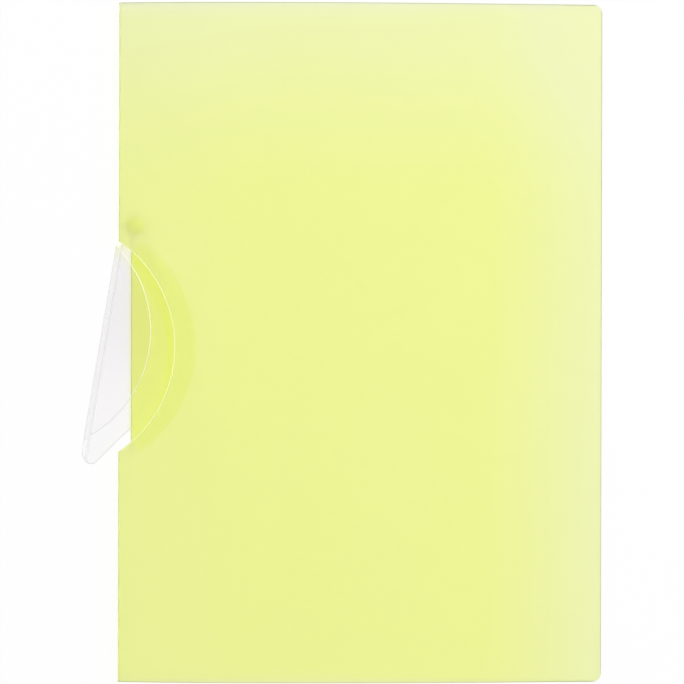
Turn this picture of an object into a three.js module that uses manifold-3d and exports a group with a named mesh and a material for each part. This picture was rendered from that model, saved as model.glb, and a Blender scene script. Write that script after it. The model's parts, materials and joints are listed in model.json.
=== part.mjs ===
// A clip folder for loose sheets, lying closed on its back cover with its clip swung a little way out.
// Millimetres, +Z up. +Y runs up the page, and the spine lies on the -X side.
// The origin is the middle of the back cover's underside, where it lies on the table.

import * as THREE from 'three';
import { mergeVertices } from 'three/addons/utils/BufferGeometryUtils.js';
import Module from 'manifold-3d';

const wasm = await Module();
wasm.setup();

// Cover sheet
const coverWidth = 221;
const coverHeight = 310;
const sheetThickness = 0.5;
const foreCornerRadius = 4;
const spineBendRadius = 1.1;
const creaseGap = 0.3;
const foreEdgeGap = 0.3;

// Bow of the front cover, and the slope by which the back cover comes down to the table
const bowHeight = 5.9;
const bowRiseReach = 45;
const bowFallReach = 91;
const slopeLength = 42;
const slopeMargin = 4;

// Half-moon cut-out of the front cover, and the notch that it makes in the spine and back cover
const cutoutRadius = 57.5;
const cutoutDepth = 25.7;
const cutoutMiddleY = -1.95;
const notchDepth = 5.5;

// Half-moon flap folded in along the notch
const flapReach = 29.6;
const flapFoldGap = 0.3;

// Clip: a moulded U with a D-shaped upper jaw and a longer lower jaw
const upperJawThickness = 1.4;
const lowerJawThickness = 1.6;
const mouthHeight = 4;
const webThickness = 2.4;
const backRounding = 2.2;
const shoulderRounding = 2;
const jawInset = 2.3;
const jawChamfer = 0.3;
const lowerJawLap = 6.4;
const toeReach = 55.7;
const toeWidth = 7.8;
const toeRounding = 6.6;
const toeLift = 2;
const outerEdgeFrom = -41;
const outerEdgeTo = 24;
const spineInset = 0.2;
const restSwing = 9.45;

// Stud that the clip swings on
const pivotFromSpine = 7.35;
const pivotY = 53.3;
const eyeRadius = 6.4;
const shankRadius = 2;
const headRadius = 3.8;
const headThickness = 0.9;
const capRadius = 3.6;
const capThickness = 0.4;
const grooveDepth = 0.4;
const tipThickness = 0.25;
const tipTaper = 0.15;
const headEdge = 0.35;
const footClearance = 0.1;

// Clearances
const swingClearance = 0.3;
const seatClearance = 0.15;
const sheetClearance = 0.3;

// Fineness of round stretches
const roundSegments = 180;
const smallSegments = 40;
const profileSteps = 36;
const bendSteps = 6;

// Heights and places that follow from the sizes above
const spineX = -coverWidth / 2;
const foreX = coverWidth / 2;
const halfSheet = sheetThickness / 2;
const backLevel = lowerJawThickness + swingClearance;
const backTop = backLevel + sheetThickness;
const flapLevel = backTop + flapFoldGap;
const upperJawLevel = lowerJawThickness + mouthHeight;
const clipTop = upperJawLevel + upperJawThickness;
const hingeLevel = clipTop + swingClearance;
const wallTop = hingeLevel - sheetThickness - sheetClearance;
const cutoutX = spineX + cutoutDepth - cutoutRadius;
const notchX = spineX + notchDepth;
const foldRadius = sheetThickness + flapFoldGap / 2;
const foldX = notchX + foldRadius;
const flapX = notchX + flapReach - cutoutRadius;
const mirroredCutoutX = 2 * notchX - cutoutX;
const pivotX = spineX + pivotFromSpine;
const clipBackX = spineX + spineInset;
const upperJawRadius = cutoutRadius - jawInset;
const halfBack = Math.sqrt(upperJawRadius ** 2 - (clipBackX - cutoutX) ** 2);
const lowerJawRadius = cutoutRadius + lowerJawLap;
const capLevel = footClearance + tipThickness + seatClearance;
const recessDepth = capLevel + capThickness + seatClearance;
const headLevel = backTop + seatClearance;
const slopeStartX = cutoutX + lowerJawRadius + slopeMargin;
const tallEnough = hingeLevel + 4 * bowHeight;

// Solids and meshes

function toSolid(geometry) {
  const bare = geometry.index ? geometry.toNonIndexed() : geometry.clone();
  bare.deleteAttribute('normal');
  bare.deleteAttribute('uv');
  const merged = mergeVertices(bare, 1e-5);
  const corners = merged.index.array;
  const triangles = [];
  for (let i = 0; i < corners.length; i += 3) {
    const [a, b, c] = corners.slice(i, i + 3);
    if (a !== b && b !== c && c !== a) triangles.push(a, b, c);
  }
  return new wasm.Manifold(new wasm.Mesh({
    numProp: 3,
    vertProperties: merged.attributes.position.array,
    triVerts: new Uint32Array(triangles),
  }));
}

function toMesh(name, solid, material) {
  const { vertProperties, triVerts } = solid.getMesh();
  const geometry = new THREE.BufferGeometry();
  geometry.setAttribute('position', new THREE.BufferAttribute(new Float32Array(vertProperties), 3));
  geometry.setIndex(new THREE.BufferAttribute(new Uint32Array(triVerts), 1));
  geometry.computeVertexNormals();
  const mesh = new THREE.Mesh(geometry, material);
  mesh.name = name;
  return mesh;
}

function block(lowX, highX, lowY, highY, lowZ, highZ) {
  const geometry = new THREE.BoxGeometry(highX - lowX, highY - lowY, highZ - lowZ);
  geometry.translate((lowX + highX) / 2, (lowY + highY) / 2, (lowZ + highZ) / 2);
  return toSolid(geometry);
}

function disc(x, y, radius, lowZ, highZ, segments = roundSegments) {
  const geometry = new THREE.CylinderGeometry(radius, radius, highZ - lowZ, segments);
  geometry.rotateX(Math.PI / 2);
  geometry.translate(x, y, (lowZ + highZ) / 2);
  return toSolid(geometry);
}

function plate(shape, lowZ, highZ, curveSegments = profileSteps) {
  const geometry = new THREE.ExtrudeGeometry(shape, {
    depth: highZ - lowZ,
    bevelEnabled: false,
    curveSegments,
  });
  geometry.translate(0, 0, lowZ);
  return toSolid(geometry);
}

// A lathed solid about a vertical axis, from [radius, height] points given upwards along its outside.
function turned(points, x, y, segments = smallSegments) {
  const profile = points.map(([radius, height]) => new THREE.Vector2(radius, height));
  const geometry = new THREE.LatheGeometry(profile, segments);
  geometry.rotateX(Math.PI / 2);
  geometry.translate(x, y, 0);
  return toSolid(geometry);
}

// A sheet whose middle line is given as [x, z] points, running the full height of the page.
function sheetAlong(line) {
  const sides = [[], []];
  line.forEach(([x, z], i) => {
    const [beforeX, beforeZ] = line[Math.max(i - 1, 0)];
    const [afterX, afterZ] = line[Math.min(i + 1, line.length - 1)];
    const length = Math.hypot(afterX - beforeX, afterZ - beforeZ);
    const offX = (-(afterZ - beforeZ) / length) * halfSheet;
    const offZ = ((afterX - beforeX) / length) * halfSheet;
    sides[0].push(new THREE.Vector2(x - offX, z - offZ));
    sides[1].unshift(new THREE.Vector2(x + offX, z + offZ));
  });
  const geometry = new THREE.ExtrudeGeometry(new THREE.Shape([...sides[0], ...sides[1]]), {
    depth: coverHeight,
    bevelEnabled: false,
  });
  geometry.rotateX(Math.PI / 2);
  geometry.translate(0, coverHeight / 2, 0);
  return toSolid(geometry);
}

function bend(centreX, centreZ, radius, fromDegrees, toDegrees, steps = bendSteps) {
  return Array.from({ length: steps + 1 }, (_, i) => {
    const angle = THREE.MathUtils.degToRad(THREE.MathUtils.lerp(fromDegrees, toDegrees, i / steps));
    return [centreX + radius * Math.cos(angle), centreZ + radius * Math.sin(angle)];
  });
}

// Cover sheet

// The outline that both covers are cut to: square at the spine, rounded at the fore edge.
function coverOutline() {
  const half = coverHeight / 2;
  const shape = new THREE.Shape();
  shape.moveTo(spineX - 1, -half);
  shape.lineTo(foreX - foreCornerRadius, -half);
  shape.absarc(foreX - foreCornerRadius, foreCornerRadius - half, foreCornerRadius, -Math.PI / 2, 0);
  shape.lineTo(foreX, half - foreCornerRadius);
  shape.absarc(foreX - foreCornerRadius, half - foreCornerRadius, foreCornerRadius, 0, Math.PI / 2);
  shape.lineTo(spineX - 1, half);
  return plate(shape, -1, tallEnough, 8);
}

function cutout() {
  return disc(cutoutX, cutoutMiddleY, cutoutRadius, -1, tallEnough);
}

// Middle line of the front cover: a bow from the spine crease down to the fore edge.
function frontLine() {
  const start = new THREE.Vector2(spineX + creaseGap, hingeLevel - halfSheet);
  const end = new THREE.Vector2(foreX, sheetThickness + foreEdgeGap + halfSheet);
  const lift = bowHeight / 0.75;
  const chordHeight = (x) => THREE.MathUtils.mapLinear(x, start.x, end.x, start.y, end.y);
  const riseX = spineX + bowRiseReach;
  const fallX = foreX - bowFallReach;
  const curve = new THREE.CubicBezierCurve(
    start,
    new THREE.Vector2(riseX, chordHeight(riseX) + lift),
    new THREE.Vector2(fallX, chordHeight(fallX) + lift),
    end,
  );
  return curve.getSpacedPoints(profileSteps).map(({ x, y }) => [x, y]);
}

// Middle line of the spine wall and back cover: down the spine, over the lower jaw, down to the table.
function backLine() {
  const bendRadius = spineBendRadius - halfSheet;
  const level = backLevel + halfSheet;
  const slope = Array.from({ length: profileSteps + 1 }, (_, i) => {
    const share = i / profileSteps;
    const height = THREE.MathUtils.lerp(level, halfSheet, THREE.MathUtils.smoothstep(share, 0, 1));
    return [slopeStartX + share * slopeLength, height];
  });
  return [
    [spineX + halfSheet, wallTop],
    ...bend(spineX + spineBendRadius, backLevel + spineBendRadius, bendRadius, 180, 270),
    ...slope,
    [foreX, halfSheet],
  ];
}

// The flap with its fold: over the back cover from the notch inwards, a half-moon with slanted ends.
function flap() {
  const foldLevel = (backLevel + flapLevel + sheetThickness) / 2;
  const line = [
    [notchX + flapReach + 1, flapLevel + halfSheet],
    ...bend(foldX, foldLevel, foldRadius - halfSheet, 90, 270),
    [foldX + foldRadius, backLevel + halfSheet],
  ].reverse();
  const outerArc = disc(flapX, cutoutMiddleY, cutoutRadius, 0, tallEnough);
  const slantedEnds = disc(mirroredCutoutX, cutoutMiddleY, cutoutRadius, 0, tallEnough);
  return sheetAlong(line).intersect(outerArc).intersect(slantedEnds);
}

function frontCover() {
  return sheetAlong(frontLine()).intersect(coverOutline()).subtract(cutout());
}

function backCover() {
  const half = coverHeight / 2;
  const notch = cutout().intersect(block(spineX - 1, foldX, -half, half, -1, tallEnough));
  const studHole = disc(pivotX, pivotY, shankRadius + seatClearance, -1, tallEnough, smallSegments);
  return sheetAlong(backLine()).intersect(coverOutline()).subtract(notch).add(flap()).subtract(studHole);
}

// Clip, shut, in the folder's own frame

// The upper jaw: a chamfered round plate, cut off straight at the back.
function upperJaw() {
  const rim = turned([
    [0, upperJawLevel],
    [upperJawRadius - jawChamfer, upperJawLevel],
    [upperJawRadius, upperJawLevel + jawChamfer],
    [upperJawRadius, clipTop - jawChamfer],
    [upperJawRadius - jawChamfer, clipTop],
    [0, clipTop],
  ], cutoutX, cutoutMiddleY, roundSegments);
  const side = coverHeight / 2;
  return rim.intersect(block(clipBackX, foreX, -side, side, 0, tallEnough));
}

// The wall that joins the jaws along the straight back, with a hollow end that clears the stud.
function web() {
  const lowY = cutoutMiddleY - halfBack;
  const highY = cutoutMiddleY + halfBack;
  const wall = block(clipBackX, clipBackX + webThickness, lowY, highY, 0, clipTop);
  const endRadius = Math.hypot(clipBackX - pivotX, highY - pivotY);
  return wall.subtract(disc(pivotX, pivotY, endRadius, -1, tallEnough));
}

// The lower jaw: a straight back, a rounded toe, a round outer edge and a neck up to the eye.
function lowerJaw() {
  const shoulderY = cutoutMiddleY + halfBack;
  const toeY = cutoutMiddleY - toeReach;
  const shape = new THREE.Shape();
  shape.moveTo(clipBackX + webThickness, shoulderY);
  shape.quadraticCurveTo(clipBackX, shoulderY, clipBackX, shoulderY - shoulderRounding);
  shape.lineTo(clipBackX, toeY + toeRounding);
  shape.bezierCurveTo(
    clipBackX, toeY,
    clipBackX + toeWidth - toeLift, toeY - toeLift,
    clipBackX + toeWidth, toeY + toeLift,
  );
  shape.absarc(
    cutoutX, cutoutMiddleY, lowerJawRadius,
    THREE.MathUtils.degToRad(outerEdgeFrom), THREE.MathUtils.degToRad(outerEdgeTo), false,
  );
  shape.lineTo(pivotX + eyeRadius, pivotY);
  shape.lineTo(pivotX - eyeRadius * Math.SQRT1_2, pivotY - eyeRadius * Math.SQRT1_2);
  return plate(shape, 0, lowerJawThickness);
}

// Everything to the right of the clip's rounded back, in cross-section.
function roundedBack() {
  const shape = new THREE.Shape();
  shape.moveTo(foreX, 0);
  shape.lineTo(foreX, clipTop);
  shape.lineTo(clipBackX + backRounding, clipTop);
  shape.absarc(clipBackX + backRounding, clipTop - backRounding, backRounding, Math.PI / 2, Math.PI);
  shape.absarc(clipBackX + backRounding, backRounding, backRounding, Math.PI, 1.5 * Math.PI);
  const geometry = new THREE.ExtrudeGeometry(shape, {
    depth: coverHeight,
    bevelEnabled: false,
    curveSegments: bendSteps,
  });
  geometry.rotateX(Math.PI / 2);
  geometry.translate(0, coverHeight / 2, 0);
  return toSolid(geometry);
}

function pivotClip() {
  const eye = disc(pivotX, pivotY, eyeRadius, 0, lowerJawThickness, smallSegments);
  const bore = disc(pivotX, pivotY, shankRadius + seatClearance, -1, tallEnough, smallSegments);
  const recess = disc(pivotX, pivotY, capRadius + swingClearance, -1, recessDepth, smallSegments);
  return upperJaw().add(web()).add(lowerJaw()).add(eye)
    .intersect(roundedBack())
    .subtract(bore).subtract(recess)
    .translate([-pivotX, -pivotY, 0]);
}

// Stud, from its foot up: a snap tip, a groove for the cap, the shank and a low domed head.
function pivotStud() {
  const grooveBottom = footClearance + tipThickness;
  const grooveTop = recessDepth;
  const dome = bend(0, 0, 1, 0, 90).map(([across, up]) => [
    headRadius * across,
    headLevel + headEdge + (headThickness - headEdge) * up,
  ]);
  dome[dome.length - 1][0] = 0;
  return turned([
    [0, footClearance],
    [shankRadius - tipTaper, footClearance],
    [shankRadius, grooveBottom],
    [shankRadius - grooveDepth, grooveBottom],
    [shankRadius - grooveDepth, grooveTop],
    [shankRadius, grooveTop],
    [shankRadius, headLevel],
    [headRadius, headLevel],
    ...dome,
  ], pivotX, pivotY);
}

// Cap: a flat ring that snaps into the stud's groove, inside the recess under the eye.
function studCap() {
  const inside = shankRadius - grooveDepth + seatClearance;
  return turned([
    [inside, capLevel],
    [capRadius, capLevel],
    [capRadius, capLevel + capThickness],
    [inside, capLevel + capThickness],
    [inside, capLevel],
  ], pivotX, pivotY);
}

// Materials

function frostedSheet() {
  return new THREE.MeshStandardMaterial({
    color: 0xe2f07a,
    roughness: 0.6,
    metalness: 0,
    transparent: true,
    opacity: 0.8,
    side: THREE.DoubleSide,
  });
}

function clearPlastic() {
  return new THREE.MeshStandardMaterial({
    color: 0xf6f6f6,
    roughness: 0.15,
    metalness: 0,
    transparent: true,
    opacity: 0.35,
  });
}

function tintedPlastic() {
  return new THREE.MeshStandardMaterial({
    color: 0xd4e25a,
    roughness: 0.35,
    metalness: 0,
  });
}

// The folder

const folder = new THREE.Group();
folder.add(toMesh('back_cover', backCover(), frostedSheet()));
folder.add(toMesh('front_cover', frontCover(), frostedSheet()));
folder.add(toMesh('pivot_stud', pivotStud(), tintedPlastic()));
folder.add(toMesh('stud_cap', studCap(), tintedPlastic()));

const swing = new THREE.Group();
swing.position.set(pivotX, pivotY, 0);
swing.rotation.z = -THREE.MathUtils.degToRad(restSwing);
swing.add(toMesh('pivot_clip', pivotClip(), clearPlastic()));
folder.add(swing);

export default folder;
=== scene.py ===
"""Looks of a frosted A4 clip folder, seen from straight above, closed, with its clip a little open."""

import json
import logging
import math
from collections.abc import Callable, Iterator
from contextlib import contextmanager
from dataclasses import dataclass
from enum import Enum
from functools import partial

import bmesh
import bpy
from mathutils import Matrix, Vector


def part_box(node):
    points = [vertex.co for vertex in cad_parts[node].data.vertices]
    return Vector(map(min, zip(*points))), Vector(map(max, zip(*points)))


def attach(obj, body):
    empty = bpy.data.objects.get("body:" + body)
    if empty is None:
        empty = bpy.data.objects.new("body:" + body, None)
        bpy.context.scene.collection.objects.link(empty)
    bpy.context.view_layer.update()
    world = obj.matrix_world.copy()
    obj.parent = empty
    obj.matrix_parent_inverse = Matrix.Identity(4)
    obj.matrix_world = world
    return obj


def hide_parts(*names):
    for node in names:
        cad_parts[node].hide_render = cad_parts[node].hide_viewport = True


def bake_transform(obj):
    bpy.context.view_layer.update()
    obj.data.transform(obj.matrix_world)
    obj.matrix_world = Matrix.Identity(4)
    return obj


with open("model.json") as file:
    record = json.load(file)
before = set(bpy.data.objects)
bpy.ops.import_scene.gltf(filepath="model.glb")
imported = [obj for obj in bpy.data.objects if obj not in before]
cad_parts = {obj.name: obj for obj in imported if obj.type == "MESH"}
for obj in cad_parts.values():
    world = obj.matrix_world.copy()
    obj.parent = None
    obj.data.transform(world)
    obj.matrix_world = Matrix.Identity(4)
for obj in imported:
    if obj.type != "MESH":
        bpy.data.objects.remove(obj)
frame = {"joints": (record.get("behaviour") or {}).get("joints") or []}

log = logging.getLogger("clip_folder")

# An object, a place in a plane, a corner in space, a colour with its alpha, a test of an edge's ends
Piece = bpy.types.Object
Point = tuple[float, float]
Corner = tuple[float, float, float]
Colour = tuple[float, float, float, float]
EdgeTest = Callable[[Vector, Vector], bool]

# Metres in a millimetre, a height above every piece, how far a cutter reaches past, and what is no distance
MM = 0.001
TALL = 40 * MM
MARGIN = 1 * MM
SAME = 1e-6

# Sides of a small hole, and how far a cubic curve follows its two lifted control points
HOLE_SIDES = 64
CURVE_SHARE = 0.75


class Combine(Enum):
    """Ways in which one solid is combined with another."""

    JOIN = "UNION"
    CUT = "DIFFERENCE"
    TRIM = "INTERSECT"


# Modelling tools


def deselect() -> None:
    """Leave nothing selected, in object mode."""
    if bpy.context.object and bpy.context.object.mode != "OBJECT":
        bpy.ops.object.mode_set(mode="OBJECT")
    bpy.ops.object.select_all(action="DESELECT")


def activate(piece: Piece) -> None:
    """Make one piece the only selected and active one.

    Args:
        piece: The object that the next operators act on.
    """
    deselect()
    piece.select_set(True)
    bpy.context.view_layer.objects.active = piece


def add_primitive(
    name: str, operator: Callable, size: Corner = (1, 1, 1), **settings: object
) -> Piece:
    """Add a primitive, name it and stretch it to its size.

    Args:
        name: Name of the new object and its mesh.
        operator: The operator that adds the primitive.
        size: How far it is stretched along its own axes.
        **settings: The operator's settings.

    Returns:
        The new object, with its place, turn and scale in its mesh.
    """
    deselect()
    operator(**settings)
    piece = bpy.context.object
    piece.name = piece.data.name = name
    piece.scale = size
    activate(piece)
    bpy.ops.object.transform_apply(location=True, rotation=True, scale=True)
    return piece


def select_all() -> None:
    """Select everything in edit mode."""
    bpy.ops.mesh.select_all(action="SELECT")


def extrude(x: float, y: float, z: float) -> None:
    """Extrude what is selected by a step, in metres."""
    bpy.ops.mesh.extrude_region_move(TRANSFORM_OT_translate={"value": (x, y, z)})


@contextmanager
def editing(piece: Piece) -> Iterator[bmesh.types.BMesh]:
    """Open a piece in edit mode with nothing selected.

    Args:
        piece: The object to edit.

    Yields:
        Its edit mesh.
    """
    activate(piece)
    bpy.ops.object.mode_set(mode="EDIT")
    bpy.ops.mesh.select_mode(type="VERT")
    bpy.ops.mesh.select_all(action="DESELECT")
    yield bmesh.from_edit_mesh(piece.data)
    bpy.ops.object.mode_set(mode="OBJECT")


def pick_edges(piece: Piece, mesh: bmesh.types.BMesh, test: EdgeTest) -> None:
    """Select the edges whose two ends pass a test.

    Args:
        piece: The object in edit mode.
        mesh: Its edit mesh.
        test: Takes the two ends of an edge and says whether it is selected.
    """
    bpy.ops.mesh.select_mode(type="EDGE")
    for edge in mesh.edges:
        if test(edge.verts[0].co, edge.verts[1].co):
            edge.select_set(True)
    mesh.select_flush_mode()
    bmesh.update_edit_mesh(piece.data)


def round_edges(piece: Piece, width: float, segments: int, test: EdgeTest) -> None:
    """Round the edges whose two ends pass a test.

    Args:
        piece: The object to change.
        width: How far the rounding reaches from an edge.
        segments: Number of its steps.
        test: Takes the two ends of an edge and says whether it is rounded.
    """
    with editing(piece) as mesh:
        pick_edges(piece, mesh, test)
        bpy.ops.mesh.bevel(offset=width, segments=segments, affect="EDGES")


def cut_straight(piece: Piece, x: float, side: int) -> None:
    """Cut a solid off along an upright plane that runs up the page.

    Args:
        piece: The solid.
        x: Where the plane lies.
        side: 1 to take away what lies to its right, -1 for its left.
    """
    with editing(piece):
        select_all()
        bpy.ops.mesh.bisect(plane_co=(x, 0, 0), plane_no=(side, 0, 0), use_fill=True, clear_outer=True)


def apply_modifier(piece: Piece, kind: str, **settings: object) -> None:
    """Add a modifier with its settings and apply it.

    Args:
        piece: The object to change.
        kind: The modifier's type.
        **settings: Its settings by name.
    """
    activate(piece)
    modifier = piece.modifiers.new(kind.lower(), kind)
    for name, value in settings.items():
        setattr(modifier, name, value)
    bpy.ops.object.modifier_apply(modifier=modifier.name)


def thicken(surface: Piece, thickness: float) -> None:
    """Give a surface a thickness, half of it to each side."""
    apply_modifier(surface, "SOLIDIFY", thickness=thickness, offset=0, use_even_offset=True)


def combine(piece: Piece, tool: Piece, how: Combine) -> None:
    """Combine a piece with a second solid, which is used up.

    Args:
        piece: The object that is kept.
        tool: The object that joins, cuts or trims it.
        how: Which of the three.
    """
    apply_modifier(piece, "BOOLEAN", object=tool, operation=how.value, solver="EXACT")
    bpy.data.objects.remove(tool)


def smooth(piece: Piece, degrees: float) -> None:
    """Shade a piece smooth, apart from edges sharper than an angle."""
    activate(piece)
    bpy.ops.object.shade_smooth_by_angle(angle=math.radians(degrees))


def disc(
    name: str, centre: Point, radius: float, low: float, high: float, sides: int = 360
) -> Piece:
    """Add an upright cylinder.

    Args:
        name: Its name.
        centre: Its place (x, y) on the page, in metres.
        radius: Its radius.
        low: Height of its lower face.
        high: Height of its upper face.
        sides: Number of its sides.

    Returns:
        The new object.
    """
    return add_primitive(
        name,
        bpy.ops.mesh.primitive_cylinder_add,
        vertices=sides,
        radius=radius,
        depth=high - low,
        location=(*centre, (low + high) / 2),
    )


def block(name: str, low: Corner, high: Corner) -> Piece:
    """Add a box between two corners.

    Args:
        name: Its name.
        low: Its lowest corner, in metres.
        high: Its highest corner.

    Returns:
        The new object.
    """
    low_corner, high_corner = Vector(low), Vector(high)
    return add_primitive(
        name,
        partial(bpy.ops.mesh.primitive_cube_add, size=1),
        size=high_corner - low_corner,
        location=(low_corner + high_corner) / 2,
    )


def strip_along(name: str, line: list[Point], half_height: float) -> Piece:
    """Model a sheet by drawing one long edge along a line, step by step.

    Args:
        name: Name of the new piece.
        line: Points (x, z) that the edge passes, in metres.
        half_height: Half the length of the edge, which runs up the page.

    Returns:
        A surface without thickness.
    """
    (first_x, first_z), (second_x, second_z) = line[:2]
    sheet = add_primitive(
        name,
        partial(bpy.ops.mesh.primitive_plane_add, size=1),
        size=(math.hypot(second_x - first_x, second_z - first_z), 2 * half_height, 1),
        location=((first_x + second_x) / 2, 0, (first_z + second_z) / 2),
        rotation=(0, -math.atan2(second_z - first_z, second_x - first_x), 0),
    )
    end = Vector((second_x, second_z))
    with editing(sheet) as mesh:
        pick_edges(sheet, mesh, lambda a, b: all((tip.xz - end).length < SAME for tip in (a, b)))
        for (from_x, from_z), (to_x, to_z) in zip(line[1:], line[2:]):
            extrude(to_x - from_x, 0, to_z - from_z)
    return sheet


def plate(name: str, outline: list[Vector], low: float, high: float) -> Piece:
    """Model a flat plate by drawing its outline point by point.

    Args:
        name: Name of the new piece.
        outline: Corners (x, y) of the outline, in metres.
        low: Height of its lower face.
        high: Height of its upper face.

    Returns:
        The plate.
    """
    first, *rest = outline
    piece = add_primitive(
        name, partial(bpy.ops.mesh.primitive_plane_add, size=1 * MM), location=(*first, low)
    )
    with editing(piece):
        select_all()
        bpy.ops.mesh.merge(type="CENTER")
        for here, there in zip(outline, rest):
            extrude(there.x - here.x, there.y - here.y, 0)
        select_all()
        bpy.ops.mesh.edge_face_add()
        extrude(0, 0, high - low)
        select_all()
        bpy.ops.mesh.normals_make_consistent(inside=False)
    return piece


def bezier(start: Vector, first: Vector, second: Vector, end: Vector, steps: int) -> list[Vector]:
    """Points on a cubic Bezier curve.

    Args:
        start: Where it starts.
        first: The control point after the start.
        second: The control point before the end.
        end: Where it ends.
        steps: Number of steps.

    Returns:
        The points.
    """
    points = []
    for step in range(steps + 1):
        t = step / steps
        u = 1 - t
        points.append(u**3 * start + 3 * u * u * t * first + 3 * u * t * t * second + t**3 * end)
    return points


def arc(x: float, z: float, radius: float, start: float, stop: float, steps: int) -> list[Point]:
    """Points on an arc in a plane.

    Args:
        x: First coordinate of its centre.
        z: Second coordinate of its centre.
        radius: Radius.
        start: First angle in degrees, from the first axis towards the second.
        stop: Last angle.
        steps: Number of steps.

    Returns:
        The points.
    """
    angles = [math.radians(start + (stop - start) * i / steps) for i in range(steps + 1)]
    return [(x + radius * math.cos(a), z + radius * math.sin(a)) for a in angles]


# Shader tools


class Socket:
    """A value in a node tree, on which arithmetic adds Math nodes."""

    def __init__(self, shader: "Shader", socket: bpy.types.NodeSocket) -> None:
        """Wrap one output socket of a shader's tree."""
        self.shader = shader
        self.socket = socket

    def _math(self, operation: str, first: object, second: object) -> "Socket":
        """Return the output of a new Math node on two values or sockets."""
        return self.shader.node("ShaderNodeMath", {"operation": operation}, {0: first, 1: second})

    def __add__(self, other: object) -> "Socket":
        """Return self + other."""
        return self._math("ADD", self, other)

    def __sub__(self, other: object) -> "Socket":
        """Return self - other."""
        return self._math("SUBTRACT", self, other)

    def __rsub__(self, other: object) -> "Socket":
        """Return other - self."""
        return self._math("SUBTRACT", other, self)

    def __mul__(self, other: object) -> "Socket":
        """Return self * other."""
        return self._math("MULTIPLY", self, other)

    def __abs__(self) -> "Socket":
        """Return self without its sign."""
        return self._math("ABSOLUTE", self, 0)

    def at_least(self, other: object) -> "Socket":
        """Return the larger of self and other."""
        return self._math("MAXIMUM", self, other)


class Shader:
    """A material's node tree, built by expressions."""

    def __init__(self, name: str) -> None:
        """Start an empty material.

        Args:
            name: The material's name.
        """
        self.material = bpy.data.materials.new(name)
        self.material.use_nodes = True
        self.tree = self.material.node_tree
        self.tree.nodes.clear()

    def node(
        self,
        kind: str,
        settings: dict[str, object] | None = None,
        inputs: dict[int | str, object] | None = None,
        output: int | str = 0,
    ) -> Socket:
        """Add a node, its settings first and then its inputs.

        Args:
            kind: The node's type.
            settings: Its properties by name.
            inputs: Values or sockets by the input's name or number.
            output: Which output to return.

        Returns:
            The chosen output.
        """
        made = self.tree.nodes.new(kind)
        for name, value in (settings or {}).items():
            setattr(made, name, value)
        for name, value in (inputs or {}).items():
            if isinstance(value, Socket):
                self.tree.links.new(value.socket, made.inputs[name])
            else:
                made.inputs[name].default_value = value
        return Socket(self, made.outputs[output])

    def place(self) -> Socket:
        """Return Object coordinates."""
        return self.node("ShaderNodeTexCoord", output="Object")

    def axis(self, name: str) -> Socket:
        """Return one of the Object coordinates, in metres."""
        return self.node("ShaderNodeSeparateXYZ", inputs={0: self.place()}, output=name)

    def distance(self, x: float, y: float) -> Socket:
        """Return the distance from an upright line through (x, y), in metres."""
        flat = self.node(
            "ShaderNodeVectorMath", {"operation": "MULTIPLY"}, {0: self.place(), 1: (1, 1, 0)}
        )
        return self.node(
            "ShaderNodeVectorMath", {"operation": "DISTANCE"}, {0: flat, 1: (x, y, 0)}, output="Value"
        )

    def noise(self, scale: float, detail: float = 2.0, stretch: Corner = (1, 1, 1)) -> Socket:
        """Add noise on Object coordinates.

        Args:
            scale: Waves to the metre.
            detail: Octaves.
            stretch: Scale of each axis.

        Returns:
            Noise between 0 and 1.
        """
        place = self.node("ShaderNodeMapping", inputs={"Vector": self.place(), "Scale": stretch})
        settings = {"Vector": place, "Scale": scale, "Detail": detail}
        return self.node("ShaderNodeTexNoise", inputs=settings)

    def fade(self, value: Socket, low: float, high: float) -> Socket:
        """Return how far a value has come from low to high, between 0 and 1, with soft ends."""
        return self.node(
            "ShaderNodeMapRange",
            {"interpolation_type": "SMOOTHSTEP"},
            {"Value": value, "From Min": low, "From Max": high},
        )

    def mix(self, share: object, first: object, second: object) -> Socket:
        """Return a mix of two colours or sockets, by its share of the second."""
        return self.node(
            "ShaderNodeMix", {"data_type": "RGBA"}, {0: share, 6: first, 7: second}, output=2
        )

    def bump(self, height: Socket, distance: float) -> Socket:
        """Return a normal for a relief of a height between 0 and 1 times a distance in metres."""
        return self.node("ShaderNodeBump", inputs={"Height": height, "Distance": distance})

    def plastic(self, inputs: dict[str, object]) -> Socket:
        """Return a Principled shader with these inputs, by name."""
        return self.node("ShaderNodeBsdfPrincipled", inputs=inputs)

    def lay_over(self, share: Socket, under: Socket, over: Socket) -> Socket:
        """Return one shader laid over another, by the share of it that shows."""
        return self.node("ShaderNodeMixShader", inputs={0: share, 1: under, 2: over})

    def pass_light(self, surface: Socket, tint: Colour) -> Socket:
        """Let light from lamps and from matt surfaces straight through a see-through finish.

        Args:
            surface: The shader that everything else meets.
            tint: What light keeps on its way through one face.

        Returns:
            The mixed shader.
        """
        lamps = self.node("ShaderNodeLightPath", output="Is Shadow Ray")
        matt = self.node("ShaderNodeLightPath", output="Is Diffuse Ray")
        clear = self.node("ShaderNodeBsdfTransparent", inputs={"Color": tint})
        return self.lay_over(lamps + matt, surface, clear)

    def finish(self, surface: Socket) -> bpy.types.Material:
        """Send a shader to the material's output.

        Args:
            surface: The shader.

        Returns:
            The finished material.
        """
        out = self.tree.nodes.new("ShaderNodeOutputMaterial")
        self.tree.links.new(surface.socket, out.inputs["Surface"])
        return self.material


# Finishes


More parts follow.
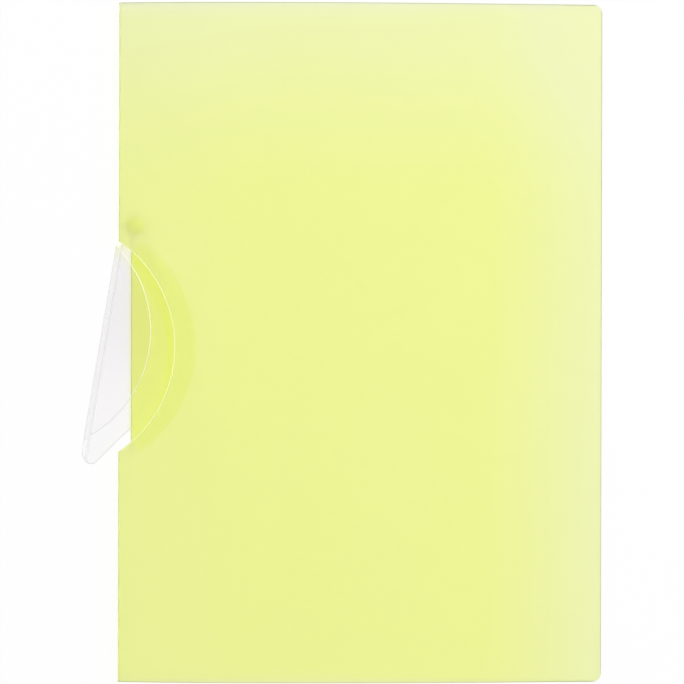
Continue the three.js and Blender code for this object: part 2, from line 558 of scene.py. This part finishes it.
@dataclass(frozen=True)
class FrostedSheet:
    """Translucent polypropylene with a fine matt grain and random clouds. Painted light makes it paler
    towards the head, the fore edge and the spine; painted shade deepens the flap, the outer rims and the
    fold; and a painted highlight runs along the cut-out's edge.
    """

    tint: Colour = (0.935, 0.96, 0.625, 1)
    # Tint of the painted light that pales the sheet towards its edges
    painted_light_tint: Colour = (0.935, 0.95, 0.84, 1)
    flap_shade_tint: Colour = (0.92, 0.96, 0.49, 1)
    # Dark tint of the painted shade along the outer rims and the fold
    rim_shade_tint: Colour = (0.52, 0.55, 0.33, 1)
    lip_highlight_tint: Colour = (0.98, 0.99, 0.60, 1)
    face_tint: Colour = (0.985, 0.997, 0.72, 1)
    roughness: float = 0.72
    gloss_waves: float = 60.0
    gloss_change: float = 0.06
    refraction: float = 1.16
    clearness: float = 0.82
    grain_waves: float = 2600.0
    grain_depth: float = 0.012 * MM
    cloud_waves: float = 9.0
    detail: float = 3.0
    # How strongly, and over what reach, painted light pales the sheet at the fore edge, the spine and the
    # head; the clouds are random tone
    pale_right: float = 0.8
    right_from: float = 50 * MM
    right_to: float = 118 * MM
    pale_left: float = 0.12
    left_from: float = 30 * MM
    left_to: float = 125 * MM
    pale_head: float = 0.75
    head_from: float = 60 * MM
    head_to: float = 165 * MM
    pale_clouds: float = 0.2
    flap_from: float = 2.4 * MM
    flap_to: float = 2.8 * MM
    front_from: float = 4 * MM
    front_to: float = 5 * MM
    spine_from: float = 70 * MM
    spine_to: float = 74 * MM
    rim_width: float = 0.55 * MM
    fore_rim_strength: float = 0.6
    lip_core: float = 0.24 * MM
    lip_width: float = 0.6 * MM
    lip_highlight_strength: float = 0.6
    fold_width: float = 0.6 * MM
    fold_reach: float = 50 * MM
    fold_end: float = 51 * MM
    fold_shade_strength: float = 0.45

    def edge_light_and_clouds(self, shader: Shader) -> Socket:
        """Say how pale the sheet is: painted light that pales it to the right, to the left and up the page,
        with random clouds over it.

        Args:
            shader: The sheet's shader.

        Returns:
            The share of the painted light tint.
        """
        right = shader.fade(shader.axis("X"), self.right_from, self.right_to)
        left = shader.fade(shader.axis("X") * -1, self.left_from, self.left_to)
        head = shader.fade(shader.axis("Y"), self.head_from, self.head_to)
        clouds = shader.noise(self.cloud_waves, self.detail)
        sides = right * self.pale_right + left * self.pale_left
        return sides + head * self.pale_head + clouds * self.pale_clouds - self.pale_clouds / 2

    def front(self, shader: Shader) -> Socket:
        """Return where the front cover is, above the flap, between 0 and 1."""
        return shader.fade(shader.axis("Z"), self.front_from, self.front_to)

    def flap(self, shader: Shader) -> Socket:
        """Find the folded flap, between the covers along the spine, which a deeper tint paints as shaded in
        its recess.

        Args:
            shader: The sheet's shader.

        Returns:
            A share between 0 and 1.
        """
        above = shader.fade(shader.axis("Z"), self.flap_from, self.flap_to)
        near_spine = shader.fade(shader.axis("X") * -1, self.spine_from, self.spine_to)
        return above * (1 - self.front(shader)) * near_spine

    def rim(self, shader: Shader, places: "Places") -> Socket:
        """Find the outer cut edges: the head, the foot and the fore edge, along which a thin dark line of
        painted shade runs.

        Args:
            shader: The sheet's shader.
            places: Where the sheet ends.

        Returns:
            A share between 0 and 1.
        """
        ends = abs(shader.axis("Y")) - (places.half_height - self.rim_width)
        fore = shader.axis("X") - (places.fore_x - self.rim_width)
        fore_share = shader.fade(fore, 0, self.rim_width) * self.fore_rim_strength
        return shader.fade(ends, 0, self.rim_width).at_least(fore_share)

    def lip(self, shader: Shader, moon: "HalfMoon") -> Socket:
        """Find the front cover's cut-out edge, along which a pale line of painted highlight runs.

        Args:
            shader: The sheet's shader.
            moon: The cut-out.

        Returns:
            A share between 0 and 1.
        """
        from_arc = abs(shader.distance(*moon.centre) - moon.radius)
        return (1 - shader.fade(from_arc, self.lip_core, self.lip_width)) * self.front(shader)

    def fold(self, shader: Shader, cover: "CoverSheet") -> Socket:
        """Find the fold at the notch, along which a thin darker line of painted shade runs.

        Args:
            shader: The sheet's shader.
            cover: The sheet, with its notch.

        Returns:
            A share between 0 and 1.
        """
        from_fold = abs(shader.axis("X") - cover.notch_x)
        from_middle = abs(shader.axis("Y") - cover.moon.y)
        line = 1 - shader.fade(from_fold, self.fold_width / 2, self.fold_width)
        in_reach = 1 - shader.fade(from_middle, self.fold_reach, self.fold_end)
        return line * in_reach * (1 - self.front(shader))

    def material(self, cover: "CoverSheet") -> bpy.types.Material:
        """Make the sheet's material.

        Args:
            cover: The sheet, with the places of its edges, cut-out and fold.

        Returns:
            The material.
        """
        shader = Shader("frosted_sheet")
        colour = shader.mix(self.edge_light_and_clouds(shader), self.tint, self.painted_light_tint)
        # Painted shade: the flap, in the recess between the covers, gets a deeper, more saturated tint
        colour = shader.mix(self.flap(shader), colour, self.flap_shade_tint)
        # Painted shade along the fold at the notch and along the outer rims
        fold = self.fold(shader, cover) * self.fold_shade_strength
        colour = shader.mix(self.rim(shader, cover.places).at_least(fold), colour, self.rim_shade_tint)
        gloss = shader.noise(self.gloss_waves) * self.gloss_change
        surface = shader.plastic(
            {
                "Base Color": colour,
                "Roughness": gloss + (self.roughness - self.gloss_change / 2),
                "IOR": self.refraction,
                "Transmission Weight": self.clearness,
                "Normal": shader.bump(shader.noise(self.grain_waves, self.detail), self.grain_depth),
            }
        )
        # Painted highlight: a pale matt line along the cut-out's edge
        edge = shader.plastic({"Base Color": self.lip_highlight_tint, "Roughness": self.roughness})
        surface = shader.lay_over(self.lip(shader, cover.moon) * self.lip_highlight_strength, surface, edge)
        return shader.finish(shader.pass_light(surface, self.face_tint))


@dataclass(frozen=True)
class ClearPlastic:
    """Clear moulded plastic, glossy, with faint flow marks, painted shade over its back wall, painted
    highlights along its edges and painted shade along the toe's rims.
    """

    tint: Colour = (0.999, 0.995, 1.0, 1)
    upper_tint: Colour = (0.965, 0.96, 0.963, 1)
    highlight_tint: Colour = (0.99, 0.985, 1.0, 1)
    toe_shade_tint: Colour = (0.80, 0.79, 0.82, 1)
    back_shade_tint: Colour = (0.82, 0.815, 0.82, 1)
    face_tint: Colour = (0.995, 0.99, 0.995, 1)
    upper_from: float = -30 * MM
    upper_to: float = 15 * MM
    toe_from: float = -22 * MM
    toe_to: float = -32 * MM
    level_from: float = 0.85
    level_to: float = 0.99
    rim_highlight_share: float = 0.9
    back_shade_share: float = 0.16
    edge_highlight_share: float = 0.3
    painted_light_roughness: float = 0.2
    wall_from: float = 0.6 * MM
    wall_to: float = 0.9 * MM
    web_fade: float = 0.5 * MM
    lower_fade: float = 0.4 * MM
    roughness: float = 0.03
    gloss_waves: float = 300.0
    gloss_change: float = 0.05
    refraction: float = 1.22
    flow_waves: float = 55.0
    flow_detail: float = 1.0
    flow_stretch: Corner = (1, 0.35, 1)
    flow_depth: float = 0.05 * MM

    def from_back(self, shader: Shader, clip: "PivotClip") -> Socket:
        """Measure how far a place is from the clip's straight back, whichever way the clip is turned.

        Args:
            shader: The clip's shader.
            clip: The clip, with its turn.

        Returns:
            The distance in metres.
        """
        shut = shader.node(
            "ShaderNodeVectorRotate",
            {"rotation_type": "Z_AXIS"},
            {
                "Vector": shader.place(),
                "Center": (*clip.places.pivot, 0),
                "Angle": math.radians(clip.rest_degrees),
            },
        )
        return shader.node("ShaderNodeSeparateXYZ", inputs={0: shut}, output="X") - clip.back_x

    def edges(self, shader: Shader) -> Socket:
        """Find where the clip isn't level: its edges, where highlights and shade are painted.

        Args:
            shader: The clip's shader.

        Returns:
            A share between 0 and 1.
        """
        normal = shader.node("ShaderNodeTexCoord", output="Normal")
        level = shader.node("ShaderNodeSeparateXYZ", inputs={0: normal}, output="Z")
        return 1 - shader.fade(abs(level), self.level_from, self.level_to)

    def paint_light_over(self, shader: Shader, tint: object, share: Socket, clear: Socket) -> Socket:
        """Return the clear surface with a share of a smooth, tinted finish over it, which paints the clip's
        highlights and shade.
        """
        painted = shader.plastic({"Base Color": tint, "Roughness": self.painted_light_roughness})
        return shader.lay_over(share, clear, painted)

    def material(self, clip: "PivotClip") -> bpy.types.Material:
        """Make the clip's material.

        Args:
            clip: The clip, with its turn and its wall.

        Returns:
            The material.
        """
        shader = Shader("clear_plastic")
        flow = shader.noise(self.flow_waves, self.flow_detail, self.flow_stretch)
        upper = shader.fade(shader.axis("Y"), self.upper_from, self.upper_to)
        surface = shader.plastic(
            {
                "Base Color": shader.mix(upper, self.tint, self.upper_tint),
                "Roughness": shader.noise(self.gloss_waves) * self.gloss_change + self.roughness,
                "IOR": self.refraction,
                "Transmission Weight": 1.0,
                "Normal": shader.bump(flow, self.flow_depth),
            }
        )
        web, lower = clip.web_thickness, clip.lower_thickness
        depth = self.from_back(shader, clip)
        wall = 1 - shader.fade(depth, web + self.wall_from, web + self.wall_to)
        # Painted shade: a darker film over the thick back wall, deepest towards its inner side
        back_wall_shade = shader.fade(depth, 0, web) * wall * self.back_shade_share
        pale = shader.fade(depth, web, web + self.web_fade)
        surface = self.paint_light_over(shader, self.back_shade_tint, back_wall_shade, surface)
        low = 1 - shader.fade(shader.axis("Z"), lower, lower + self.lower_fade)
        # lit: where the rims get the painted highlight; towards the toe, away from the back, they get
        # painted shade
        lit = shader.fade(shader.axis("Y"), self.toe_to, self.toe_from).at_least(1 - pale)
        # Painted highlights along the edges, stronger on the rims
        rims = self.edges(shader) * pale.at_least(low) * self.rim_highlight_share
        surface = self.paint_light_over(shader, self.highlight_tint, self.edges(shader) * self.edge_highlight_share, surface)
        surface = self.paint_light_over(shader, shader.mix(lit, self.toe_shade_tint, self.highlight_tint), rims, surface)
        return shader.finish(shader.pass_light(surface, self.face_tint))


@dataclass(frozen=True)
class TintedPlastic:
    """Satin moulded plastic of the sheet's colour, for the stud and its cap."""

    tint: Colour = (0.80, 0.87, 0.20, 1)
    face_tint: Colour = (0.96, 0.98, 0.8, 1)
    dark_share: float = 0.9
    cloud_waves: float = 700.0
    roughness: float = 0.35
    gloss_change: float = 0.1
    refraction: float = 1.49
    grain_waves: float = 4000.0
    grain_depth: float = 0.01 * MM

    def material(self) -> bpy.types.Material:
        """Make the stud's material.

        Returns:
            The material.
        """
        shader = Shader("tinted_plastic")
        clouds = shader.noise(self.cloud_waves)
        shade = (*(channel * self.dark_share for channel in self.tint[:3]), 1)
        surface = shader.plastic(
            {
                "Base Color": shader.mix(clouds, self.tint, shade),
                "Roughness": clouds * self.gloss_change + self.roughness,
                "IOR": self.refraction,
                "Normal": shader.bump(shader.noise(self.grain_waves), self.grain_depth),
            }
        )
        return shader.finish(shader.pass_light(surface, self.face_tint))


# The folder's pieces


@dataclass
class Places:
    """Places that come from the frame, in metres."""

    spine_x: float
    fore_x: float
    half_height: float
    hinge_z: float
    pivot: Point
    clip_top: float

    @classmethod
    def from_frame(cls) -> "Places":
        """Read the places from the frame's boxes and joints.

        Returns:
            The places.
        """
        low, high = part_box("back_cover")
        joints = {joint["name"]: joint for joint in frame["joints"]}
        return cls(
            spine_x=low.x,
            fore_x=high.x,
            half_height=high.y,
            hinge_z=joints["cover_hinge"]["pos_m"][2],
            pivot=tuple(joints["clip_swing"]["pos_m"][:2]),
            clip_top=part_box("pivot_clip")[1].z,
        )


@dataclass
class HalfMoon:
    """The round cut-out at the spine, which the clip's jaws follow."""

    places: Places
    radius: float = 57.5 * MM
    depth: float = 25.7 * MM
    y: float = -1.95 * MM

    @property
    def x(self) -> float:
        """Centre of the arc across the page, to the left of the spine."""
        return self.places.spine_x + self.depth - self.radius

    @property
    def centre(self) -> Point:
        """Centre of the arc."""
        return self.x, self.y


@dataclass
class CoverSheet:
    """Front cover, spine, back cover and folded flap, all one sheet."""

    places: Places
    moon: HalfMoon
    thickness: float = 0.5 * MM
    corner_radius: float = 4 * MM
    corner_segments: int = 12
    back_level: float = 1.9 * MM
    bow_height: float = 5.9 * MM
    bow_rise_reach: float = 45 * MM
    bow_fall_reach: float = 91 * MM
    bow_start: float = 0.3 * MM
    bow_gap: float = 0.5 * MM
    bow_steps: int = 72
    slope_from: float = 36.1 * MM
    slope_length: float = 42 * MM
    slope_steps: int = 28
    spine_bend: float = 1.1 * MM
    crease_bend: float = 0.8 * MM
    crease_end: float = 98.0
    bend_steps: int = 8
    fore_gap: float = 0.3 * MM
    notch_depth: float = 5.5 * MM
    flap_reach: float = 29.6 * MM
    flap_gap: float = 0.3 * MM
    hole_radius: float = 2.15 * MM
    bend_from: float = 0.83 * MM
    bend_height: float = 0.24 * MM
    sharp_degrees: float = 30.0

    @property
    def notch_x(self) -> float:
        """Where the notch's straight side lies."""
        return self.places.spine_x + self.notch_depth

    @property
    def fold_radius(self) -> float:
        """Outer radius of the flap's half turn."""
        return self.thickness + self.flap_gap / 2

    @property
    def fold_x(self) -> float:
        """Where the centre of the flap's half turn lies."""
        return self.notch_x + self.fold_radius

    def back_line(self) -> list[Point]:
        """Draw the middle line of the back cover and spine wall, from the fore edge to the crease.

        Returns:
            Points (x, z), in metres.
        """
        spine_x = self.places.spine_x
        half = self.thickness / 2
        level = self.back_level + half
        start = spine_x + self.slope_from
        slope = []
        for step in range(self.slope_steps + 1):
            share = step / self.slope_steps
            eased = share * share * (3 - 2 * share)
            slope.append((start + (1 - share) * self.slope_length, half + eased * (level - half)))
        bend = arc(
            spine_x + self.spine_bend,
            self.back_level + self.spine_bend,
            self.spine_bend - half,
            270,
            180,
            self.bend_steps,
        )
        return [(self.places.fore_x, half), *slope, *bend]

    def front_line(self) -> list[Point]:
        """Draw the middle line of the crease and the bowed front cover, up to the fore edge.

        Returns:
            Points (x, z), in metres.
        """
        places = self.places
        half = self.thickness / 2
        crease = arc(
            places.spine_x + self.crease_bend,
            places.hinge_z - self.crease_bend,
            self.crease_bend - half,
            180,
            self.crease_end,
            self.bend_steps,
        )
        first = Vector((places.spine_x + self.bow_start, places.hinge_z - half))
        last = Vector((places.fore_x, self.thickness + self.fore_gap + half))
        lift = Vector((0, self.bow_height / CURVE_SHARE))
        rise = first.lerp(last, (self.bow_rise_reach - self.bow_start) / (last.x - first.x)) + lift
        fall = last.lerp(first, self.bow_fall_reach / (last.x - first.x)) + lift
        bow_from = crease[-1][0] + self.bow_gap
        bow = bezier(first, rise, fall, last, self.bow_steps)
        return [*crease, *((point.x, point.y) for point in bow if point.x > bow_from)]

    def outline(self) -> Piece:
        """Model the block that trims both covers, with round fore corners.

        Returns:
            The block.
        """
        places = self.places
        trim = block(
            "outline",
            (places.spine_x - MARGIN, -places.half_height, -MARGIN),
            (places.fore_x, places.half_height, TALL),
        )
        round_edges(
            trim,
            self.corner_radius,
            self.corner_segments,
            lambda a, b: min(a.x, b.x) > 0 and (a.xy - b.xy).length < SAME,
        )
        return trim

    def flap(self) -> Piece:
        """Model the half-moon flap with its fold at the notch.

        Returns:
            The flap.
        """
        moon = self.moon
        half = self.thickness / 2
        fold_z = self.back_level + self.fold_radius
        line = [
            (self.fold_x + self.fold_radius, self.back_level + half),
            *arc(self.fold_x, fold_z, self.fold_radius - half, 270, 90, 2 * self.bend_steps),
            (self.notch_x + self.flap_reach + MARGIN, fold_z + self.fold_radius - half),
        ]
        flap = strip_along("flap", line, self.places.half_height)
        thicken(flap, self.thickness)
        outer_x = self.notch_x + self.flap_reach - moon.radius
        mirrored_x = 2 * self.notch_x - moon.x
        for name, x in (("flap_arc", outer_x), ("flap_ends", mirrored_x)):
            combine(flap, disc(name, (x, moon.y), moon.radius, -MARGIN, TALL), Combine.TRIM)
        return flap

    def build(self) -> Piece:
        """Model the sheet.

        Returns:
            The finished sheet.
        """
        places, moon = self.places, self.moon
        sheet = strip_along("cover_sheet", [*self.back_line(), *self.front_line()], places.half_height)
        thicken(sheet, self.thickness)
        combine(sheet, self.outline(), Combine.TRIM)
        between = (self.back_level + places.hinge_z) / 2
        combine(sheet, disc("cutout", moon.centre, moon.radius, between, TALL), Combine.CUT)
        notch = disc("notch", moon.centre, moon.radius, -MARGIN, between + MARGIN)
        cut_straight(notch, self.fold_x, 1)
        combine(sheet, notch, Combine.CUT)
        combine(sheet, self.flap(), Combine.JOIN)
        hole = disc("hole", places.pivot, self.hole_radius, -MARGIN, between, HOLE_SIDES)
        combine(sheet, hole, Combine.CUT)
        smooth(sheet, self.sharp_degrees)
        return sheet

    def mount(self, sheet: Piece) -> None:
        """Hide the solids of both covers, which the sheet stands for, and bake its place into its mesh.

        A point in the gap between the covers and a slope for a bend at the crease are worked out, but
        nothing uses them.

        Args:
            sheet: The finished sheet.
        """
        places = self.places
        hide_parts("back_cover", "front_cover")
        start = Vector((places.spine_x + self.thickness / 2, 0, places.hinge_z - self.bend_from))
        fore_level = self.thickness + (self.fore_gap - self.bend_height) / 2
        fall = (start.z - fore_level) / (places.fore_x - start.x)
        across = Vector((fall, 0, 1)).normalized()
        start + across * self.bend_height
        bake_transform(sheet)


@dataclass
class PivotClip:
    """The clear moulded clip: two jaws joined by a rounded back."""

    places: Places
    moon: HalfMoon
    upper_thickness: float = 1.4 * MM
    lower_thickness: float = 1.6 * MM
    inset: float = 2.3 * MM
    lap: float = 6.4 * MM
    web_thickness: float = 2.4 * MM
    back_rounding: float = 2.2 * MM
    back_segments: int = 10
    back_gap: float = 0.2 * MM
    rest_degrees: float = 9.45
    shoulder_rounding: float = 2 * MM
    shoulder_steps: int = 6
    toe_reach: float = 55.7 * MM
    toe_width: float = 7.8 * MM
    toe_rounding: float = 6.6 * MM
    toe_lift: float = 2 * MM
    toe_steps: int = 16
    outer_from: float = -41.0
    outer_to: float = 24.0
    jaw_steps: int = 64
    eye_radius: float = 6.4 * MM
    eye_sides: int = 96
    bore_radius: float = 2.15 * MM
    recess_radius: float = 3.9 * MM
    recess_depth: float = 1.05 * MM
    edge_rounding: float = 0.4 * MM
    edge_segments: int = 4
    sharp_degrees: float = 20.0

    @property
    def back_x(self) -> float:
        """Where the shut clip's back lies."""
        return self.places.spine_x + self.back_gap

    def soften(self, flat: Piece) -> None:
        """Round the rims of a plate's upper and lower face a little, as a mould leaves them."""
        round_edges(flat, self.edge_rounding, self.edge_segments, lambda a, b: abs(a.z - b.z) < SAME)

    def upper_jaw(self) -> Piece:
        """Model the D-shaped upper jaw, cut straight at the back.

        Returns:
            The jaw.
        """
        radius = self.moon.radius - self.inset
        top = self.places.clip_top
        jaw = disc("clear_clip", self.moon.centre, radius, top - self.upper_thickness, top)
        self.soften(jaw)
        cut_straight(jaw, self.back_x, -1)
        return jaw

    def lower_jaw(self, shoulder_y: float) -> Piece:
        """Model the lower jaw: a straight back, a round toe, an arc and a neck up to the eye.

        Args:
            shoulder_y: How far up the back is straight.

        Returns:
            The jaw.
        """
        moon, back_x = self.moon, self.back_x
        toe_y = moon.y - self.toe_reach
        shoulder = []
        for step in range(self.shoulder_steps + 1):
            angle = math.radians(90 * step / self.shoulder_steps)
            x = back_x + self.shoulder_rounding * (1 - math.sin(angle))
            y = shoulder_y - self.shoulder_rounding * (1 - math.cos(angle))
            shoulder.append(Vector((x, y)))
        toe = bezier(
            Vector((back_x, toe_y + self.toe_rounding)),
            Vector((back_x, toe_y)),
            Vector((back_x + self.toe_width - self.toe_lift, toe_y - self.toe_lift)),
            Vector((back_x + self.toe_width, toe_y + self.toe_lift)),
            self.toe_steps,
        )
        radius = moon.radius + self.lap
        arc_points = arc(moon.x, moon.y, radius, self.outer_from, self.outer_to, self.jaw_steps)
        eye = Vector(self.places.pivot)
        tangent = self.eye_radius * math.sqrt(0.5)
        neck = [eye + Vector((self.eye_radius, 0)), eye - Vector((tangent, tangent))]
        outline = [*shoulder, *toe, *(Vector(point) for point in arc_points), *neck]
        jaw = plate("lower_jaw", outline, 0, self.lower_thickness)
        self.soften(jaw)
        return jaw

    def rounded_back(self) -> Piece:
        """Model the bar that rounds the clip's back, above and below.

        Returns:
            The bar.
        """
        places, back_x = self.places, self.back_x
        bar = block(
            "rounded_back", (back_x, -places.half_height, 0), (0, places.half_height, places.clip_top)
        )
        round_edges(
            bar,
            self.back_rounding,
            self.back_segments,
            lambda a, b: max(a.x, b.x) < back_x + SAME and abs(a.z - b.z) < SAME,
        )
        return bar

    def build(self) -> Piece:
        """Model the clip shut, then swing it out to its rest pose.

        Returns:
            The finished clip.
        """
        places, moon, back_x = self.places, self.moon, self.back_x
        pivot_x, pivot_y = places.pivot
        half_back = math.sqrt((moon.radius - self.inset) ** 2 - (back_x - moon.x) ** 2)
        shoulder_y = moon.y + half_back
        clip = self.upper_jaw()
        web = block(
            "web",
            (back_x, moon.y - half_back, 0),
            (back_x + self.web_thickness, shoulder_y, places.clip_top),
        )
        sweep = math.hypot(back_x - pivot_x, shoulder_y - pivot_y)
        combine(web, disc("web_end", places.pivot, sweep, -MARGIN, TALL), Combine.CUT)
        combine(clip, web, Combine.JOIN)
        combine(clip, self.lower_jaw(shoulder_y), Combine.JOIN)
        eye = disc("eye", places.pivot, self.eye_radius, 0, self.lower_thickness, self.eye_sides)
        self.soften(eye)
        combine(clip, eye, Combine.JOIN)
        combine(clip, self.rounded_back(), Combine.TRIM)
        bore = ("bore", self.bore_radius, TALL)
        recess = ("recess", self.recess_radius, self.recess_depth)
        for name, radius, top in (bore, recess):
            combine(clip, disc(name, places.pivot, radius, -MARGIN, top, HOLE_SIDES), Combine.CUT)
        self.swing_out(clip)
        smooth(clip, self.sharp_degrees)
        apply_modifier(clip, "WEIGHTED_NORMAL", keep_sharp=True)
        return clip

    def swing_out(self, clip: Piece) -> None:
        """Turn the clip about the stud to its rest pose.

        Args:
            clip: The clip, modelled shut.
        """
        with editing(clip):
            select_all()
            bpy.ops.transform.rotate(
                value=math.radians(self.rest_degrees),
                orient_axis="Z",
                center_override=(*self.places.pivot, 0),
            )

    def mount(self, clip: Piece) -> None:
        """Let the clip ride on its body in place of its solid.

        Args:
            clip: The finished clip.
        """
        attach(clip, "clip")
        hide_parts("pivot_clip")


@dataclass
class PivotStud:
    """The stud that the clip swings on, and the cap that holds it from below."""

    places: Places
    shank_radius: float = 2 * MM
    groove_radius: float = 1.6 * MM
    head_radius: float = 3.8 * MM
    head_level: float = 2.55 * MM
    head_edge: float = 0.35 * MM
    head_thickness: float = 0.9 * MM
    dome_degrees: float = 80.0
    dome_steps: int = 8
    foot: float = 0.1 * MM
    tip: float = 0.25 * MM
    tip_taper: float = 0.15 * MM
    groove_top: float = 1.05 * MM
    cap_level: float = 0.5 * MM
    cap_thickness: float = 0.4 * MM
    cap_radius: float = 3.6 * MM
    cap_inside: float = 1.75 * MM
    cap_edge: float = 0.08 * MM
    sides: int = 96
    sharp_degrees: float = 35.0

    def turned(self, name: str, profile: list[Point], closed: bool) -> Piece:
        """Turn a round piece by drawing a circle up its profile.

        Args:
            name: Name of the piece.
            profile: Points (radius, height), in metres.
            closed: Whether the profile ends where it starts, as a ring's does.

        Returns:
            The piece.
        """
        (radius, height), *rest = profile
        piece = add_primitive(
            name,
            bpy.ops.mesh.primitive_circle_add,
            vertices=self.sides,
            radius=radius,
            location=(*self.places.pivot, height),
            fill_type="NOTHING" if closed else "NGON",
        )
        centre = (*self.places.pivot, 0)
        with editing(piece):
            select_all()
            for next_radius, next_height in rest:
                extrude(0, 0, next_height - height)
                share = next_radius / radius
                bpy.ops.transform.resize(value=(share, share, 1), center_override=centre)
                radius, height = next_radius, next_height
            select_all()
            bpy.ops.mesh.remove_doubles(threshold=SAME)
            bpy.ops.mesh.normals_make_consistent(inside=False)
        smooth(piece, self.sharp_degrees)
        return piece

    def build_stud(self) -> Piece:
        """Model the stud, from its foot up to its low domed head.

        Returns:
            The stud.
        """
        edge_z = self.head_level + self.head_edge
        dome_height = self.head_thickness - self.head_edge
        dome = []
        for step in range(1, self.dome_steps + 1):
            angle = math.radians(step * self.dome_degrees / self.dome_steps)
            dome.append((self.head_radius * math.cos(angle), edge_z + dome_height * math.sin(angle)))
        profile = [
            (self.shank_radius - self.tip_taper, self.foot),
            (self.shank_radius, self.foot + self.tip),
            (self.groove_radius, self.foot + self.tip),
            (self.groove_radius, self.groove_top),
            (self.shank_radius, self.groove_top),
            (self.shank_radius, self.head_level),
            (self.head_radius, self.head_level),
            (self.head_radius, edge_z),
            *dome,
        ]
        return self.turned("stud", profile, closed=False)

    def build_cap(self) -> Piece:
        """Model the cap, a flat ring with softened edges.

        Returns:
            The cap.
        """
        low, high = self.cap_level, self.cap_level + self.cap_thickness
        soft = self.cap_edge
        profile = [
            (self.cap_inside, low),
            (self.cap_radius - soft, low),
            (self.cap_radius, low + soft),
            (self.cap_radius, high - soft),
            (self.cap_radius - soft, high),
            (self.cap_inside, high),
            (self.cap_inside, low),
        ]
        return self.turned("cap", profile, closed=True)

    def mount(self, piece: Piece, node: str) -> None:
        """Let a piece ride on the back's body in place of its solid.

        Args:
            piece: The stud or the cap.
            node: The node that it stands for.
        """
        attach(piece, "back")
        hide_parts(node)


# The studio


@dataclass
class Studio:
    """Floor, light and camera."""

    view_x: float = -8.43 * MM
    view_y: float = 0.34 * MM
    view_height: float = 1.5
    view_span: float = 313.7 * MM
    sensor: float = 36.0
    roll_degrees: float = 0.13
    floor_size: float = 6.0
    floor_level: float = -0.05 * MM
    floor_paint: Colour = (0.95, 0.95, 0.95, 1)
    floor_whiteness: float = 0.9
    floor_glow: float = 0.25
    white: Colour = (1, 1, 1, 1)
    sky_level: float = 0.45
    key_watts: float = 110.0
    key_size: float = 0.8
    key_distance: float = 4.0
    key_elevation: float = 52.0
    key_azimuth: float = 50.0

    def build(self) -> None:
        """Make the floor, the light and the camera."""
        bpy.context.scene.view_settings.view_transform = "Standard"
        self.floor()
        self.sky()
        self.key_light()
        self.camera()

    def floor(self) -> None:
        """Make a wide white floor that the camera sees as white, with a faint shadow."""
        floor = add_primitive(
            "floor",
            partial(bpy.ops.mesh.primitive_plane_add, size=self.floor_size),
            location=(0, 0, self.floor_level),
        )
        shader = Shader("floor")
        paint = shader.node("ShaderNodeBsdfDiffuse", inputs={"Color": self.floor_paint})
        glow = shader.node("ShaderNodeEmission", inputs={"Color": self.white, "Strength": 1.0})
        camera, glossy, through = (
            shader.node("ShaderNodeLightPath", output=kind)
            for kind in ("Is Camera Ray", "Is Glossy Ray", "Is Transmission Ray")
        )
        whiteness = camera * self.floor_whiteness + (glossy + through) * self.floor_glow
        floor.data.materials.append(shader.finish(shader.lay_over(whiteness, paint, glow)))

    def sky(self) -> None:
        """Surround the scene with even white light."""
        world = bpy.data.worlds.new("studio")
        world.use_nodes = True
        background = world.node_tree.nodes["Background"]
        background.inputs["Color"].default_value = self.white
        background.inputs["Strength"].default_value = self.sky_level
        bpy.context.scene.world = world

    def key_light(self) -> None:
        """Hang one large soft light to the right, a little towards the top of the page."""
        elevation, azimuth = math.radians(self.key_elevation), math.radians(self.key_azimuth)
        place = self.key_distance * Vector(
            (
                math.cos(elevation) * math.cos(azimuth),
                math.cos(elevation) * math.sin(azimuth),
                math.sin(elevation),
            )
        )
        data = bpy.data.lights.new("key", "AREA")
        data.energy = self.key_watts
        data.size = self.key_size
        lamp = bpy.data.objects.new("key", data)
        lamp.location = place
        lamp.rotation_euler = place.to_track_quat("Z", "Y").to_euler()
        bpy.context.scene.collection.objects.link(lamp)

    def camera(self) -> None:
        """Look straight down on the folder from well above it."""
        data = bpy.data.cameras.new("camera")
        data.sensor_width = self.sensor
        data.lens = self.sensor * self.view_height / self.view_span
        camera = bpy.data.objects.new("camera", data)
        camera.location = (self.view_x, self.view_y, self.view_height)
        camera.rotation_euler = (0, 0, math.radians(self.roll_degrees))
        bpy.context.scene.collection.objects.link(camera)
        bpy.context.scene.camera = camera


def dress(piece: Piece, material: bpy.types.Material) -> None:
    """Give a piece one material.

    Args:
        piece: The piece.
        material: Its material.
    """
    piece.data.materials.clear()
    piece.data.materials.append(material)
    log.info("%s: %d faces", piece.name, len(piece.data.polygons))


def main() -> None:
    """Build the folder and its studio."""
    logging.basicConfig(level=logging.INFO)
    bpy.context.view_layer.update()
    places = Places.from_frame()
    moon = HalfMoon(places)
    Studio().build()

    cover = CoverSheet(places, moon)
    sheet = cover.build()
    dress(sheet, FrostedSheet().material(cover))
    cover.mount(sheet)

    clip_maker = PivotClip(places, moon)
    clip = clip_maker.build()
    dress(clip, ClearPlastic().material(clip_maker))
    clip_maker.mount(clip)

    stud_maker = PivotStud(places)
    tinted = TintedPlastic().material()
    pieces = ((stud_maker.build_stud(), "pivot_stud"), (stud_maker.build_cap(), "stud_cap"))
    for piece, node in pieces:
        dress(piece, tinted)
        stud_maker.mount(piece, node)


if __name__ == "__main__":
    main()
